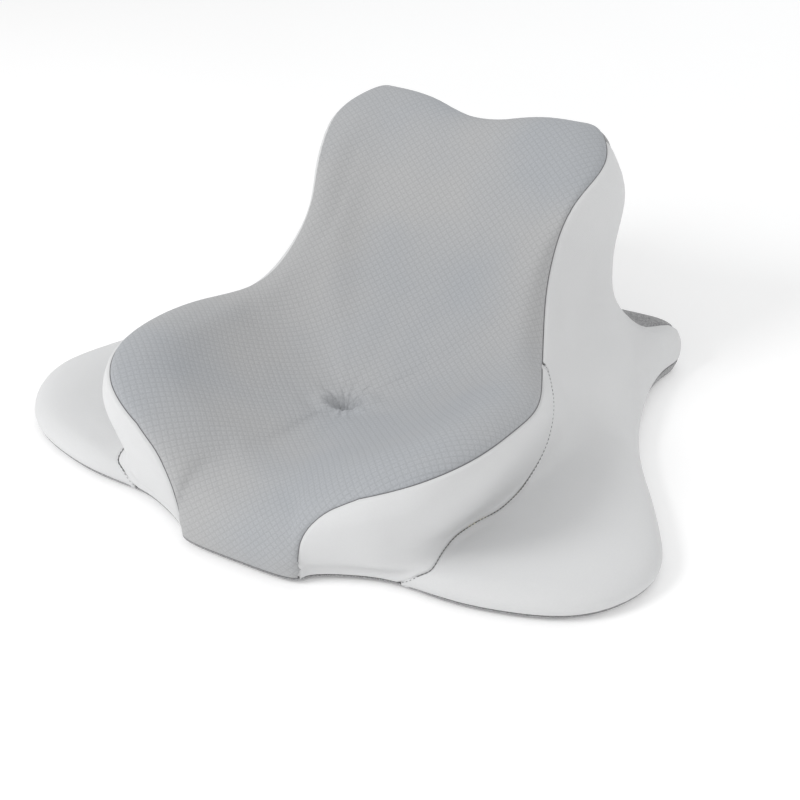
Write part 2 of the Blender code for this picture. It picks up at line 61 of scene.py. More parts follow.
# ==================================================================== foam filling
# One block of moulded memory foam fills the whole cover: dished seat, low backrest and two
# spreading wings. The cover is pulled over it through the zip and tied down at the tuft.
# Its shape is cut from seventeen sections, each running from the tuft out over the edge and
# down to the underside, in millimetres from the middle of the tongue's front edge.
SECTIONS = (
    (0, (0, 55, 66), (0, 30, 61), (0, 17, 54), (0, 8, 44), (0, 3, 33), (0, 1, 23),
     (0, 0), (18, 0, 6)),
    (3, (30, 55, 70), (44, 27, 66), (47, 15, 58), (50, 7, 45), (52, 3, 33), (53, 1, 23),
     (53, 2), (18, 0, 6)),
    (6, (50, 54, 80), (59, 21, 75), (61, 10, 64), (62, 6, 50), (63, 7, 36), (64, 10, 23),
     (67, 15), (18, 0, 6)),
    (9, (74, 54, 94), (86, 19, 88), (89, 12, 76), (91, 13, 60), (92, 18, 40), (92, 24, 24),
     (94, 29), (18, 1, 6)),
    (12, (102, 58, 109), (122, 26, 104), (126, 22, 90), (128, 25, 70), (129, 31, 45),
     (131, 37, 24), (133, 41), (20, 2, 6)),
    (15, (130, 72, 120), (156, 47, 116), (162, 44, 100), (160, 52, 70), (157, 70, 34),
     (176, 60, 28), (200, 44), (24, 9, 6)),
    (18, (149, 100, 127), (180, 88, 119), (185, 90, 102), (178, 98, 68), (168, 115, 29),
     (230, 100, 27), (285, 75), (24, 10, 6)),
    (21, (157, 145, 122), (189, 145, 113), (193, 148, 96), (185, 152, 62), (179, 155, 27),
     (250, 150, 26), (325, 145), (24, 10, 6)),
    (24, (155, 205, 111), (187, 210, 101), (191, 214, 86), (190, 216, 58), (192, 215, 30),
     (240, 222, 27), (300, 215), (24, 10, 7)),
    (27, (135, 268, 100), (158, 287, 94), (171, 287, 80), (184, 284, 62), (202, 282, 42),
     (228, 288, 31), (258, 290), (26, 9, 9)),
    (31, (123, 334, 149), (134, 349, 148), (148, 366, 126), (158, 380, 100),
     (176, 384, 72), (205, 388, 45), (232, 385), (30, 9, 12)),
    (35, (125, 380, 208), (140, 394, 211), (156, 420, 184), (163, 422, 134),
     (173, 430, 86), (200, 450, 52), (231, 455), (38, 9, 12)),
    (37, (125, 428, 238), (150, 452, 231), (166, 468, 198), (168, 438, 138),
     (174, 444, 82), (206, 456, 51), (238, 484), (43, 6, 11)),
    (38, (118, 449, 244), (134, 483, 237), (146, 487, 204), (155, 447, 142),
     (164, 447, 82), (197, 464, 50), (228, 494), (46, 6, 10)),
    (41, (92, 467, 250), (103, 490, 242), (113, 480, 206), (118, 441, 142),
     (121, 443, 84), (142, 462, 50), (160, 495), (46, 4, 10)),
    (44, (50, 466, 248), (56, 488, 239), (58, 477, 203), (58, 444, 140),
     (58, 447, 84), (68, 462, 49), (80, 495), (46, 4, 10)),
    (47, (0, 461, 235), (0, 484, 223), (0, 474, 195), (0, 444, 138),
     (0, 447, 84), (0, 461, 48), (0, 495), (46, 4, 10)),
)
PATTERN_DEPTH = 495.0
HALF = 47                        # columns from the middle of the front to the middle rear
TUFT = (0.0, 190.0, 35.0)
TUFT_RIM = 26.0
BOWL_STEPS = (0.38, 0.62, 0.83)
BOWL_POWER = 1.8
SPINE = ((55, 66), (120, 59), (190, 53), (240, 62), (295, 89), (355, 139), (415, 197),
         (461, 235))
BACK_COLUMN, ZIP_COLUMN, WAIST_COLUMN, BAND_COLUMN, TONGUE_COLUMN = 38, 39, 27, 12, 4
RIM_ROW, BASE_ROW, EDGE_ROW, LAST_ROW = 12, 13, 14, 15
REAR_RIM, LOW_RIM = 38.0, 0.6    # top of the rear lip; elsewhere a share of the edge
UNDER_TURN = (0.5, 6.0)          # how the edge turns in to the flat underside
EVEN_ROUNDS, BOWL_ROUNDS = 14, 170
# Where each seam runs, as (column, row of the section).
TOP_SEAM = ((0, 13), (4, 13), (4.5, 11.2), (5, 9.6), (6, 8.1), (7, 7.2), (8, 6.6), (9, 6.3),
            (11, 6), (47, 6))
WING_SEAM = ((12, 13), (13, 11.3), (14, 9.9), (15, 9.2), (17, 9), (22, 9), (24, 8.7),
             (25, 8.0), (26, 7.0), (27, 6))
FINE_COLUMN, FINE_ROW = 0.25, 0.05
COLUMNS = int(2 * HALF / FINE_COLUMN)
ROWS = int(LAST_ROW / FINE_ROW) + 1
MM = 0.001
MIRROR = np.array([-1.0, 1.0, 1.0])


def curve_through(knots, points, at):
    """A smooth curve through the points, whose slope at each knot is the weighted mean."""
    knots, points = np.asarray(knots, float), np.asarray(points, float)
    step = np.diff(knots)
    slope = np.diff(points, axis=0) / step[:, None]
    tangent = np.empty_like(points)
    share = (step[:-1] / (step[:-1] + step[1:]))[:, None]
    tangent[1:-1] = slope[:-1] * (1 - share) + slope[1:] * share
    tangent[0], tangent[-1] = slope[0], slope[-1]
    i = np.clip(np.searchsorted(knots, at, side="right") - 1, 0, len(step) - 1)
    h = step[i][:, None]
    u = ((np.asarray(at) - knots[i]) / step[i])[:, None]
    return (points[i] * (1 + 2 * u) * (1 - u) ** 2 + tangent[i] * h * u * (1 - u) ** 2
            + points[i + 1] * u * u * (3 - 2 * u) - tangent[i + 1] * h * u * u * (1 - u))


def section_points(row):
    crest, tuft = np.array(row[1], float), np.array(TUFT)
    flat = crest[:2] - tuft[:2]
    along, height = zip(*SPINE)

    def spine(y):
        return curve_through(along, np.array(height, float)[:, None],
                             [min(max(y, along[0]), along[-1])])[0, 0]

    points = [tuft]
    for v in (TUFT_RIM / np.linalg.norm(flat), *BOWL_STEPS):
        place = tuft[:2] + flat * v
        rise = (crest[2] - spine(crest[1])) * v ** BOWL_POWER
        points.append(np.array([*place, spine(place[1]) + rise]))
    points += [crest, *(np.array(p, float) for p in row[2:7])]
    middle = np.array([0.0, PATTERN_DEPTH / 2])
    outline = np.array(row[7], float)
    inward = (middle - outline) / np.linalg.norm(middle - outline)
    height, set_in, base = row[8]
    rim = REAR_RIM if row[0] >= BACK_COLUMN else height * LOW_RIM
    points += [np.array([*(outline + inward * set_in), height]),
               np.array([*outline, rim]),
               np.array([*(outline + inward * UNDER_TURN[0]), base]),
               np.array([*(outline + inward * UNDER_TURN[1]), 0.0]),
               np.array([*middle, 0.0])]
    return np.array(points)


def filled_shape():
    """The outside of the filled cushion as (column, row, xyz), right round, in metres."""
    knots = [row[0] for row in SECTIONS]
    net = np.array([section_points(row) for row in SECTIONS])
    knots = [2 * knots[0] - knots[1], *knots, 2 * knots[-1] - knots[-2]]
    net = np.concatenate([net[1:2] * MIRROR, net, net[-2:-1] * MIRROR])
    at = np.arange(0, HALF + FINE_COLUMN / 2, FINE_COLUMN)
    control = curve_through(knots, net.reshape(len(knots), -1), at)
    control = control.reshape(len(at), net.shape[1], 3)
    fine_rows = np.arange(ROWS) * FINE_ROW
    half = np.empty((len(at), ROWS, 3))
    for i, points in enumerate(control):
        chord = np.r_[0, np.cumsum(np.linalg.norm(np.diff(points, axis=0), axis=1) ** 0.8)]
        half[i] = curve_through(chord, points,
                                np.interp(fine_rows, np.arange(len(points)), chord))
    half[0, :, 0] = half[-1, :, 0] = 0.0
    whole = np.concatenate([half, half[1:-1][::-1] * MIRROR])
    # Foam has no sharp change of curve: even the shape out between the sections.
    keep = np.clip((fine_rows - 11.2) / 0.8, 0, 1) + np.clip(1 - fine_rows / 0.6, 0, 1)
    keep = keep[None, :, None]
    for _ in range(EVEN_ROUNDS):
        round_it = (np.roll(whole, 1, 0) + np.roll(whole, -1, 0)) / 2
        whole += (round_it - whole) * 0.5
        down = whole.copy()
        down[:, 1:-1] = (whole[:, :-2] + whole[:, 2:]) / 2
        whole += (down - whole) * 0.5 * (1 - keep)
    bowl = np.clip((fine_rows - 1.0) / 1.2, 0, 1) * np.clip((5.7 - fine_rows) / 1.1, 0, 1)
    bowl = bowl[None, :, None]
    for _ in range(BOWL_ROUNDS):
        even = (np.roll(whole, 1, 0) + np.roll(whole, -1, 0)) / 4
        even[:, 1:-1] += (whole[:, :-2] + whole[:, 2:]) / 4
        even[:, [0, -1]] = whole[:, [0, -1]]
        whole += (even - whole) * 0.8 * bowl
    whole[..., 1] = np.clip(whole[..., 1], 0.0, PATTERN_DEPTH)
    whole[:, int(EDGE_ROW / FINE_ROW):, 2] = 0.0
    (low, high), rear = cad_box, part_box("back_panel")[1][1]
    scale = [(high[0] - low[0]) / 2 / whole[..., 0].max(), (rear - low[1]) / PATTERN_DEPTH,
             (high[2] - low[2]) / whole[..., 2].max()]
    whole = whole * scale
    whole[..., 1] += low[1]
    return whole


SHAPE = filled_shape()
STITCH_GAP = 0.0003              # half the gap between two panels at a seam
SEAM_EASE = 1.3                  # columns over which a seam's bends are eased


def seam_row(path, column):
    """The row where a seam lies at a column, counted from the nearer side."""
    column = column % (2 * HALF)
    column = min(column, 2 * HALF - column)
    knots, rows = zip(*path)
    reach = min(SEAM_EASE, column - knots[0], knots[-1] - column,
                0.1 + 0.35 * abs(column - TONGUE_COLUMN))
    near = np.clip(column + np.linspace(-1, 1, 9) * max(reach, 0.0), knots[0], knots[-1])
    row = curve_through(knots, np.array(rows, float)[:, None], near).mean()
    return float(np.clip(row, min(rows), max(rows)))


def run_length(points):
    """Distance of each point along the line through them."""
    return np.r_[0, np.cumsum(np.linalg.norm(np.diff(points, axis=0), axis=1))]


def resampled(points, at):
    length = run_length(points)
    return np.stack([np.interp(at, length, points[:, k]) for k in range(3)], 1)


def down_section(column, row_from, row_to):
    """Points down one section between two rows, and their distance along it."""
    line = SHAPE[int(round(column / FINE_COLUMN)) % COLUMNS]
    at = np.arange(ROWS) * FINE_ROW
    inside = at[(at > row_from + 1e-6) & (at < row_to - 1e-6)]
    rows = np.r_[row_from, inside, row_to]
    points = np.stack([np.interp(rows, at, line[:, k]) for k in range(3)], 1)
    return points, run_length(points)


def spread(length, head, tail, many):
    """Distances along a section, close together at both ends and even between."""
    head, tail = np.array(head) * MM, np.array(tail) * MM
    room = (head[-1] + tail[-1]) * 1.5
    if length < room:
        head, tail = head * length / room, tail * length / room
    middle = np.linspace(head[-1], length - tail[-1], many + 2)[1:-1]
    return np.r_[head, middle, length - tail[::-1]]


def panel_grid(columns, row_from, row_to, head, tail, many, gaps=(True, True)):
    """A panel as (column, ring, xyz) between two seams; the edges keep the stitch gap."""
    grid = []
    for column in columns:
        points, length = down_section(column, row_from(column), row_to(column))
        at = spread(length[-1], head, tail, many)
        gap = min(STITCH_GAP, length[-1] / 8)
        at = np.clip(at, gap * gaps[0], length[-1] - gap * gaps[1])
        grid.append(resampled(points, at))
    return np.array(grid)


def top_seam(column):
    return seam_row(TOP_SEAM, column)


def wing_seam(column):
    near = min(column % (2 * HALF), 2 * HALF - column % (2 * HALF))
    return BASE_ROW if near <= BAND_COLUMN else (
        top_seam(column) if near >= WAIST_COLUMN else seam_row(WING_SEAM, column))


def mirrored(grid):
    """The left panel from the right one, with its columns still running the same way."""
    return grid[::-1] * MIRROR


def grid_faces(columns, rings, closed=False, start=0):
    last = columns if closed else columns - 1
    return [(start + i * rings + j, start + i * rings + j + 1,
             start + (i + 1) % columns * rings + j + 1, start + (i + 1) % columns * rings + j)
            for i in range(last) for j in range(rings - 1)]


def seam_lines():
    """Every line of stitching on the right half as {name: points}."""
    def along(path, first, last):
        columns = np.arange(first, last + FINE_COLUMN / 2, FINE_COLUMN)
        return np.array([down_section(c, path(c), BASE_ROW + 0.5)[0][0] for c in columns])

    back = int(BACK_COLUMN / FINE_COLUMN)
    return {
        "top": along(top_seam, 0, HALF),
        "wing": along(wing_seam, BAND_COLUMN, WAIST_COLUMN),
        "back": SHAPE[back, int(6 / FINE_ROW):int(BASE_ROW / FINE_ROW) + 1],
        "base": along(lambda c: BASE_ROW, 0, HALF),
        "zip": along(lambda c: RIM_ROW, ZIP_COLUMN, HALF),
    }


SEAMS = seam_lines()


def tree_of(points):
    """A search tree that finds the nearest of many points."""
    tree = KDTree(len(points))
    for i, point in enumerate(points):
        tree.insert(point, i)
    tree.balance()
    return tree


def seam_points(spacing=0.0006):
    """Close points along every seam, on both sides."""
    points = []
    for line in SEAMS.values():
        dense = resampled(line, np.arange(0, run_length(line)[-1], spacing))
        points += [dense, dense * MIRROR]
    return np.concatenate(points)


SEAM_TREE = tree_of(seam_points())


def from_seams(points):
    return np.array([SEAM_TREE.find(p)[2] for p in points])


FULLNESS = 0.0035                # most that the cover stands off between its seams
LOFT = 0.0016                    # of which this much is the cover's own thick pile
LOFT_REACH = 0.012               # distance from a seam over which the pile rises
SETTLED_FRAME = 20
HELD_SEAM, HELD_LOW, HELD_TUFT = 0.0008, 0.008, 0.012


def show(made):
    bpy.context.scene.collection.objects.link(made)
    return made


def filled_out():
    """Blows the sewn cover out against its seams, and says how each part of it moves."""
    step = 0.5

    def every(first, last):
        return np.arange(first, last + step / 2, step)

    ends, none = (0, 2.5, 6, 11), (0, 3, 8)
    grids = [
        panel_grid(every(0, 2 * HALF)[:-1], lambda c: 0, top_seam, (0, 3, 7, 12), ends, 26,
                   (False, False)),
        panel_grid(every(TONGUE_COLUMN, WAIST_COLUMN), top_seam, wing_seam, ends, ends, 6,
                   (False, False)),
        panel_grid(every(BAND_COLUMN, BACK_COLUMN), wing_seam, lambda c: BASE_ROW, ends, ends,
                   20, (False, False)),
        panel_grid(every(BACK_COLUMN, 2 * HALF - BACK_COLUMN), top_seam,
                   lambda c: BASE_ROW, ends, ends, 18, (False, False)),
        panel_grid(every(0, 2 * HALF)[:-1], lambda c: BASE_ROW, lambda c: LAST_ROW, none,
                   none, 3, (False, False)),
    ]
    grids[1:3] = [grids[1], mirrored(grids[1]), grids[2], mirrored(grids[2])]
    points, faces = [], []
    for number, grid in enumerate(grids):
        start = sum(len(p) for p in points)
        faces += grid_faces(*grid.shape[:2], closed=number in (0, len(grids) - 1), start=start)
        points.append(grid.reshape(-1, 3))
    mesh = bpy.data.meshes.new("cover_trial")
    mesh.from_pydata(np.concatenate(points).tolist(), [], faces)
    form = bmesh.new()
    form.from_mesh(mesh)
    bmesh.ops.remove_doubles(form, verts=form.verts, dist=0.0002)
    bmesh.ops.dissolve_degenerate(form, edges=form.edges, dist=0.0001)
    bmesh.ops.recalc_face_normals(form, faces=form.faces)
    form.to_mesh(mesh)
    form.free()
    trial = show(bpy.data.objects.new("cover_trial", mesh))
    rest = np.array([v.co for v in mesh.vertices])
    sewn = trial.vertex_groups.new(name="sewn")
    tuft = SHAPE[0, 0]
    held = (from_seams(rest) < HELD_SEAM) | (rest[:, 2] < HELD_LOW) | (
        np.linalg.norm(rest - tuft, axis=1) < HELD_TUFT)
    sewn.add([int(i) for i in np.nonzero(held)[0]], 1.0, "REPLACE")
    cloth = trial.modifiers.new("filling", "CLOTH")
    settings = cloth.settings
    settings.quality = 5
    settings.mass = 0.3
    settings.tension_stiffness = settings.compression_stiffness = 40
    settings.shear_stiffness = 20
    settings.bending_stiffness = 1.5
    settings.use_pressure = True
    settings.uniform_pressure_force = 0.8
    settings.vertex_group_mass = "sewn"
    settings.effector_weights.gravity = 0
    scene = bpy.context.scene
    for moment in range(1, SETTLED_FRAME + 1):
        scene.frame_set(moment)
    evaluated = trial.evaluated_get(bpy.context.evaluated_depsgraph_get())
    blown = np.array([v.co for v in evaluated.data.vertices])
    scene.frame_set(1)
    # The foam is right behind the cover, so nothing moves inward.
    outward = np.array([v.normal for v in mesh.vertices])
    size = np.maximum(((blown - rest) * outward).sum(1), 0)[:, None]
    bpy.data.objects.remove(trial, do_unlink=True)
    print("cover blown out by up to", round(float(size.max()), 4), "m")
    loft = LOFT * (1 - np.exp(-from_seams(rest) / LOFT_REACH))[:, None]
    move = outward * ((FULLNESS - LOFT) * np.tanh(size / (FULLNESS - LOFT)) + loft)
    return tree_of(rest), move


BLOWN = filled_out()


def fullness(points, normals):
    """Moves points as the filled cover moved there."""
    if BLOWN is None:
        away = from_seams(points)
        return points + normals * (FULLNESS * (1 - np.exp(-away / LOFT_REACH)))[:, None]
    tree, move = BLOWN
    moved = points.copy()
    for i, point in enumerate(points):
        near = tree.find_n(point, 4)
        weight = np.array([1 / (n[2] + 0.0004) for n in near])
        moved[i] += (move[[n[1] for n in near]] * (weight / weight.sum())[:, None]).sum(0)
    return moved


def pick(made):
    """Makes one object the only selected one."""
    bpy.context.view_layer.objects.active = made
    bpy.ops.object.select_all(action="DESELECT")
    made.select_set(True)


def corner_vertices(mesh):
    corner = np.empty(len(mesh.loops), int)
    mesh.loops.foreach_get("vertex_index", corner)
    return corner


def mesh_object(name, points, faces, look=None):
    mesh = bpy.data.meshes.new(name)
    mesh.from_pydata(np.asarray(points).tolist(), [], [tuple(map(int, f)) for f in faces])
    mesh.validate()
    mesh.shade_smooth()
    if look:
        mesh.materials.append(look)
    return show(bpy.data.objects.new(name, mesh))


def vertex_normals(points, faces):
    faces = np.array([f if len(f) == 4 else (*f, f[-1]) for f in faces])
    face = np.cross(points[faces[:, 2]] - points[faces[:, 0]],
                    points[faces[:, 3]] - points[faces[:, 1]])
    total = np.zeros_like(points)
    for k in range(4):
        np.add.at(total, faces[:, k], face)
    return total / np.maximum(np.linalg.norm(total, axis=1), 1e-15)[:, None]


def node(tree, kind, inputs=(), **settings):
    """Adds a node; its inputs are values, or sockets that are linked in."""
    made = tree.nodes.new("ShaderNode" + kind)
    for key, value in settings.items():
        setattr(made, key, value)
    for key, value in dict(inputs).items():
        if isinstance(value, bpy.types.NodeSocket):
            tree.links.new(value, made.inputs[key])
        else:
            made.inputs[key].default_value = value
    return made


def math_node(tree, operation, *values):
    return node(tree, "Math", dict(enumerate(values)), operation=operation).outputs[0]


def new_group(name, inputs, outputs):
    """An empty shader node group with its sockets; returns tree, its inputs and outputs."""
    tree = bpy.data.node_groups.new(name, "ShaderNodeTree")
    for label, kind, default in inputs:
        socket = tree.interface.new_socket(label, in_out="INPUT", socket_type=kind)
        if default is not None:
            socket.default_value = default
    for label, kind in outputs:
        tree.interface.new_socket(label, in_out="OUTPUT", socket_type=kind)
    return tree, tree.nodes.new("NodeGroupInput").outputs, tree.nodes.new(
        "NodeGroupOutput").inputs


def new_material(name, colour, roughness, metallic=0.0, sheen=0.0, pile=0.5, gloss=0.5):
    """A plain material; pile is the roughness of its sheen, gloss its specular level."""
    look = bpy.data.materials.new(name)
    look.use_nodes = True
    shader = look.node_tree.nodes["Principled BSDF"]
    shader.inputs["Base Color"].default_value = (*colour, 1)
    shader.inputs["Roughness"].default_value = roughness
    shader.inputs["Metallic"].default_value = metallic
    shader.inputs["Sheen Weight"].default_value = sheen
    shader.inputs["Sheen Roughness"].default_value = pile
    shader.inputs["Specular IOR Level"].default_value = gloss
    return look, look.node_tree, shader


def place_group(tree, group, **inputs):
    made = tree.nodes.new("ShaderNodeGroup")
    made.node_tree = group
    for key, value in inputs.items():
        key = key.replace("_", " ")
        if isinstance(value, bpy.types.NodeSocket):
            tree.links.new(value, made.inputs[key])
        else:
            made.inputs[key].default_value = value
    return made.outputs


def tint(tree, shader, share, dark, light, reach=(0.0, 1.0)):
    """Colours a material from dark to light by a share between 0 and 1."""
    ramp = node(tree, "ValToRGB", {"Fac": share})
    for stop, place, colour in zip(ramp.color_ramp.elements, reach, (dark, light)):
        stop.position = place
        stop.color = (*colour, 1)
    tree.links.new(ramp.outputs["Color"], shader.inputs["Base Color"])


def emboss(tree, shader, height, distance, strength):
    bump = node(tree, "Bump", {"Height": height, "Distance": distance, "Strength": strength})
    tree.links.new(bump.outputs["Normal"], shader.inputs["Normal"])


def vary_roughness(tree, shader, share, smooth, rough):
    spread = node(tree, "MapRange", {"Value": share, "To Min": smooth, "To Max": rough})
    tree.links.new(spread.outputs["Result"], shader.inputs["Roughness"])


# Mottling: slow and fine change of shade, as on any foam skin, yarn or casting.
MOTTLE, given, gives = new_group(
    "mottle", [("Vector", "NodeSocketVector", None), ("Size", "NodeSocketFloat", 0.01),
               ("Roughness", "NodeSocketFloat", 0.6)], [("Value", "NodeSocketFloat")])
cells = math_node(MOTTLE, "DIVIDE", 1.0, given["Size"])
scaled = node(MOTTLE, "VectorMath", {0: given["Vector"]}, operation="SCALE")
MOTTLE.links.new(cells, scaled.inputs["Scale"])
cloud = node(MOTTLE, "TexNoise", {"Vector": scaled.outputs[0], "Scale": 1.0, "Detail": 3.0,
                                  "Roughness": given["Roughness"]})
MOTTLE.links.new(cloud.outputs["Fac"], gives["Value"])


def mottled(tree, size, roughness=0.6):
    where = node(tree, "TexCoord").outputs["Object"]
    return place_group(tree, MOTTLE, Vector=where, Size=size, Roughness=roughness)["Value"]


FOAM, tree, shader = new_material("foam", (0.82, 0.79, 0.70), 0.95)
tone = mottled(tree, 0.02)
pores = mottled(tree, 0.0012, 0.8)
tint(tree, shader, tone, (0.78, 0.74, 0.62), (0.87, 0.85, 0.78))
emboss(tree, shader, pores, 0.0006, 0.6)

CREASE_WIDE, CREASE_LONG, CREASE_DEEP, CREASE_SLANT = 0.012, 0.005, 0.0007, 0.25
SWELL_RADIUS, SWELL_WIDE, SWELL, FRONT_SWELL = 0.0165, 0.0080, 0.0060, 0.0020
PUCKER_RADIUS, PUCKER_WIDE, PUCKER = 0.015, 0.013, 0.0006


def pulled_in(points):
    """The tuft's crease, its front lip and the puckers that run out from it."""
    away = points - SHAPE[0, 0]
    across, along = away[:, 0], away[:, 1]
    radius = np.hypot(across, along)
    angle = np.arctan2(along, across)
    slanted = along - CREASE_SLANT * across
    # Tied tight, the foam swells up all round the tuft, most in front of it.
    swell = SWELL - FRONT_SWELL * slanted / np.maximum(radius, 0.001)
    drop = CREASE_DEEP * np.exp(-np.hypot(across / CREASE_WIDE, slanted / CREASE_LONG) ** 1.5)
    oval = np.hypot(across * 0.85, slanted * 1.2)
    drop -= swell * np.exp(-((oval - SWELL_RADIUS) / SWELL_WIDE) ** 2)
    ring = np.exp(-((radius - PUCKER_RADIUS) / PUCKER_WIDE) ** 2)
    ring *= np.clip(radius / 0.006, 0, 1)
    wave = (np.cos(11 * angle + 0.7) + 0.6 * np.cos(17 * angle + 2.1)
            + 0.5 * np.cos(7 * angle + 4.0 + 60 * radius))
    drop += PUCKER * ring * wave
    moved = points.copy()
    moved[:, 2] -= drop
    return moved


FOAM_DEPTH = 0.0042              # cover, clearance and the depth of the seams
foam_grid = panel_grid(np.arange(0, 2 * HALF, 0.5), lambda c: 0.45, lambda c: LAST_ROW - 0.3,
                       (0, 4), (0, 6), 60)
rings = foam_grid.shape[1]
foam_points = foam_grid.reshape(-1, 3)
foam_faces = grid_faces(len(foam_grid), rings, closed=True)
inset = foam_points - vertex_normals(foam_points, foam_faces) * FOAM_DEPTH
# The bore for the tuft cord joins the middle of the top to the middle of the underside.
foam_faces += [(i * rings + rings - 1, i * rings, (i + 1) % len(foam_grid) * rings,
                (i + 1) % len(foam_grid) * rings + rings - 1) for i in range(len(foam_grid))]
foam = mesh_object("foam_filling", pulled_in(inset), foam_faces, FOAM)
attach(foam, "cushion")
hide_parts("foam_core")


# ==================================================================== top panel
# One piece of light grey stretch knit with a quilted diamond grid covers the tongue, the
# dished seat and the front of the backrest. It is overlocked to the white panels all round
# and pulled down into the seat by the tuft, which puckers it.
GREY = (0.46, 0.462, 0.466)
GREY_COOL = (0.415, 0.431, 0.453)
DIAMOND = 0.0054
top_grid = panel_grid(np.arange(0, 2 * HALF, FINE_COLUMN), lambda c: 0, top_seam,
                      (0.6, 1.5, 2.5, 3.6, 4.8, 6.2, 7.8, 9.6, 11.6, 14, 17, 20.5, 25),
                      (0, 0.7, 1.4, 2.3, 3.4, 4.8, 6.6, 9, 12), 44, (False, True))
rings = top_grid.shape[1]
flat = np.vstack([top_grid.reshape(-1, 3), SHAPE[0, 0]])
pole = len(flat) - 1
top_faces = grid_faces(len(top_grid), rings, closed=True)
top_faces += [(pole, i * rings, (i + 1) % len(top_grid) * rings)
              for i in range(len(top_grid))]


def lay_flat(name, made, right, left):
    """Gives a panel its flat cloth pattern, in metres, by unfolding it; X runs right."""
    pick(made)
    bpy.ops.object.mode_set(mode="EDIT")
    bpy.ops.mesh.select_all(action="SELECT")
    bpy.ops.uv.unwrap(method="CONFORMAL", margin=0)
    bpy.ops.object.mode_set(mode="OBJECT")
    mesh = made.data
    layer = mesh.uv_layers.active
    layer.name = "cloth"
    uv = np.empty(len(mesh.loops) * 2)
    layer.data.foreach_get("uv", uv)
    uv = uv.reshape(-1, 2)
    corner = corner_vertices(mesh)
    at_vertex = np.zeros((len(mesh.vertices), 2))
    at_vertex[corner] = uv
    area = flat_area = 0.0
    for face in mesh.polygons:
        area += face.area
        a = at_vertex[list(face.vertices)]
        b = np.roll(a, -1, 0)
        flat_area += (a[:, 0] * b[:, 1] - a[:, 1] * b[:, 0]).sum() / 2
    turn = at_vertex[right] - at_vertex[left]
    turn = complex(*turn) / abs(complex(*turn))
    plane = (uv[:, 0] + 1j * uv[:, 1]) / turn * math.sqrt(area / abs(flat_area))
    layer.data.foreach_set("uv", np.stack([plane.real, plane.imag], 1).ravel())


def rolled_edge(points, normals, deep, wide=0.0022, bead=0.0):
    """Turns the cloth's edge down into the seam, with a small bead beside it."""
    away = from_seams(points)
    dip = deep * np.exp(-(away / wide) ** 1.4)
    dip -= bead * np.exp(-((away - 0.0028) / 0.0013) ** 2)
    return points - normals * dip[:, None]


def cloth_thickness(made, thickness=0.0019):
    solid = made.modifiers.new("cloth_thickness", "SOLIDIFY")
    solid.thickness = thickness
    solid.offset = -1
    bpy.context.view_layer.objects.active = made
    bpy.ops.object.modifier_apply(modifier=solid.name)


# The diamond grid of the quilted knit: two sets of stitched lines that cross.
QUILT, given, gives = new_group(
    "quilted_lines", [("Vector", "NodeSocketVector", None), ("Pitch", "NodeSocketFloat", 0.006),
                      ("Width", "NodeSocketFloat", 0.18), ("Turn", "NodeSocketFloat", 0.785)],
    [("Line", "NodeSocketFloat"), ("Pillow", "NodeSocketFloat")])
turned = node(QUILT, "VectorRotate", {"Vector": given["Vector"], "Angle": given["Turn"]},
              rotation_type="Z_AXIS")
parts = node(QUILT, "SeparateXYZ", {"Vector": turned.outputs[0]})
folded = [math_node(QUILT, "PINGPONG", math_node(QUILT, "DIVIDE", parts.outputs[k],
                                                 given["Pitch"]), 0.5) for k in (0, 1)]
lines = [node(QUILT, "MapRange", {"Value": f, "From Min": 0.0, "From Max": given["Width"],
                                  "To Min": 1.0, "To Max": 0.0},
              interpolation_type="SMOOTHSTEP").outputs["Result"] for f in folded]
QUILT.links.new(math_node(QUILT, "MAXIMUM", *lines), gives["Line"])
puffs = [math_node(QUILT, "SINE", math_node(QUILT, "MULTIPLY", f, math.pi)) for f in folded]
QUILT.links.new(math_node(QUILT, "MULTIPLY", *puffs), gives["Pillow"])

# Knitted loops: rows of small rounded stitches, offset from row to row.
LOOPS, given, gives = new_group(
    "knit_loops", [("Vector", "NodeSocketVector", None), ("Pitch", "NodeSocketFloat", 0.001)],
    [("Height", "NodeSocketFloat")])
parts = node(LOOPS, "SeparateXYZ", {"Vector": given["Vector"]})
u, v = (math_node(LOOPS, "DIVIDE", parts.outputs[k], given["Pitch"]) for k in (0, 1))
slant = math_node(LOOPS, "MULTIPLY", math_node(LOOPS, "PINGPONG", u, 0.5), 0.8)
wales = math_node(LOOPS, "ABSOLUTE", math_node(
    LOOPS, "SINE", math_node(LOOPS, "MULTIPLY", u, math.pi)))
courses = math_node(LOOPS, "ABSOLUTE", math_node(LOOPS, "SINE", math_node(
    LOOPS, "MULTIPLY", math_node(LOOPS, "ADD", v, slant), math.pi * 1.25)))
LOOPS.links.new(math_node(LOOPS, "MULTIPLY", wales, courses), gives["Height"])

GREY_KNIT, tree, shader = new_material("grey_knit", GREY, 0.92, sheen=0.12, pile=0.6,
                                       gloss=0.2)
cloth = node(tree, "UVMap", uv_map="cloth").outputs["UV"]
quilt = place_group(tree, QUILT, Vector=cloth, Pitch=DIAMOND, Width=0.24)
fine_quilt = place_group(tree, QUILT, Vector=cloth, Pitch=DIAMOND / 2, Width=0.2)
loops = place_group(tree, LOOPS, Vector=cloth, Pitch=0.0011)["Height"]
flecks = place_group(tree, MOTTLE, Vector=cloth, Size=0.0011, Roughness=0.7)["Value"]
wash = mottled(tree, 0.16, 0.35)
cool = node(tree, "MapRange", {"Value": wash, "From Min": 0.4, "From Max": 0.62})
tone = node(tree, "Mix", {"Factor": cool.outputs["Result"], 6: (*GREY, 1),
                          7: (*GREY_COOL, 1)}, data_type="RGBA")
grain = node(tree, "MapRange", {"Value": flecks, "From Min": 0.3, "From Max": 0.7,
                                "To Min": 0.86, "To Max": 1.12})
